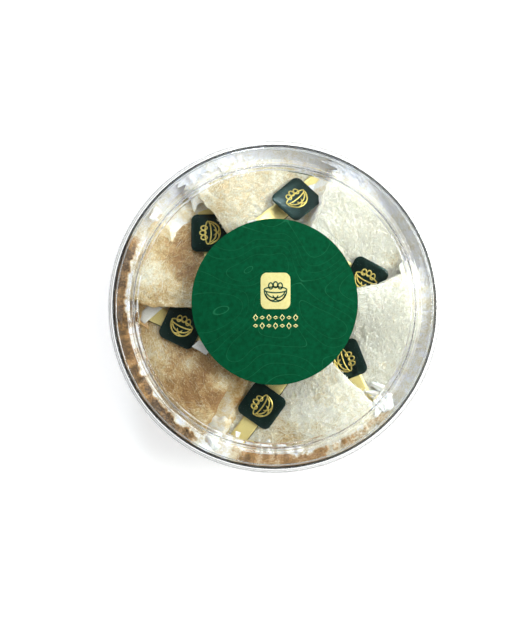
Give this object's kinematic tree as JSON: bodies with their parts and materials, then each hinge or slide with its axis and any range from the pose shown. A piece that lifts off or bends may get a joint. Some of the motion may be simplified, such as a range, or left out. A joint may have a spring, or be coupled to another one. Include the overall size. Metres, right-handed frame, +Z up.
{
  "type": "round clear box of edible birds nests",
  "caption": "Round clear plastic box with a stepped lid and a round green paper label, holding a ring of dried edible bird's nests, each with a gold paper band and a dark green tag.",
  "frame": {"origin": "centre of the tub's flat underside", "axes": "+Z up along the box's axis of turning, +X to the right and +Y to the top of the label"},
  "size_m": [0.2, 0.2, 0.0536],
  "materials": {
    "tub": "clear, moulded polystyrene",
    "lid": "clear, moulded polystyrene",
    "label": "matte printed paper, deep green",
    "nest": "dried strands, ivory to honey brown, slightly glossy",
    "band": "gold foil paper, white reverse",
    "tag": "gloss laminated card, near-black green"
  },
  "bodies": {
    "root": {"tub": "tub", "lid": "lid", "label": "label", "nest_1": "nest", "nest_2": "nest", "nest_3": "nest", "nest_4": "nest", "nest_5": "nest", "nest_6": "nest", "band_1": "band", "band_2": "band", "band_3": "band", "band_4": "band", "band_5": "band", "band_6": "band", "tag_1": "tag", "tag_2": "tag", "tag_3": "tag", "tag_4": "tag", "tag_5": "tag", "tag_6": "tag"}
  },
  "joints": []
}
